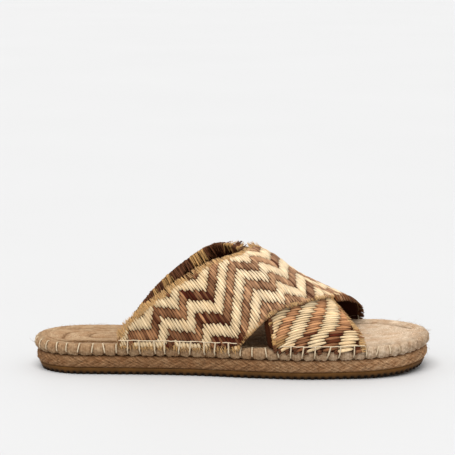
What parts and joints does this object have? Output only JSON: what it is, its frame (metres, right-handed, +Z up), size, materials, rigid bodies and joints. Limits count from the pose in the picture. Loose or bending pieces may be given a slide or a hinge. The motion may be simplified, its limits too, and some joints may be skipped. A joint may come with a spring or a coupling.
{
  "type": "espadrille slide",
  "caption": "Right-foot espadrille slide with crossed woven raffia straps, frayed along their edges, on a coiled jute sole with a thin ribbed rubber bottom.",
  "frame": {"origin": "on the ground, at the middle of the shoe's length and width", "axes": "+X towards the toe, +Y towards the big toe's side, +Z up from the ground"},
  "size_m": [0.258, 0.0969, 0.0804],
  "materials": {
    "rubber": "matte olive-brown rubber with fine ribs on its edge",
    "jute_braid": "coarse natural jute braid, matte and hairy",
    "jute_rope": "pale twisted jute, matte and hairy, with cream blanket stitch",
    "jute_footbed": "flat coiled jute braid, matte",
    "raffia": "woven raffia in a cream and brown zigzag, slightly glossy strands"
  },
  "bodies": {
    "root": {"outsole": "rubber", "lower_jute": "jute_braid", "rim_rope": "jute_rope", "footbed": "jute_footbed", "upper": "raffia"}
  },
  "joints": []
}
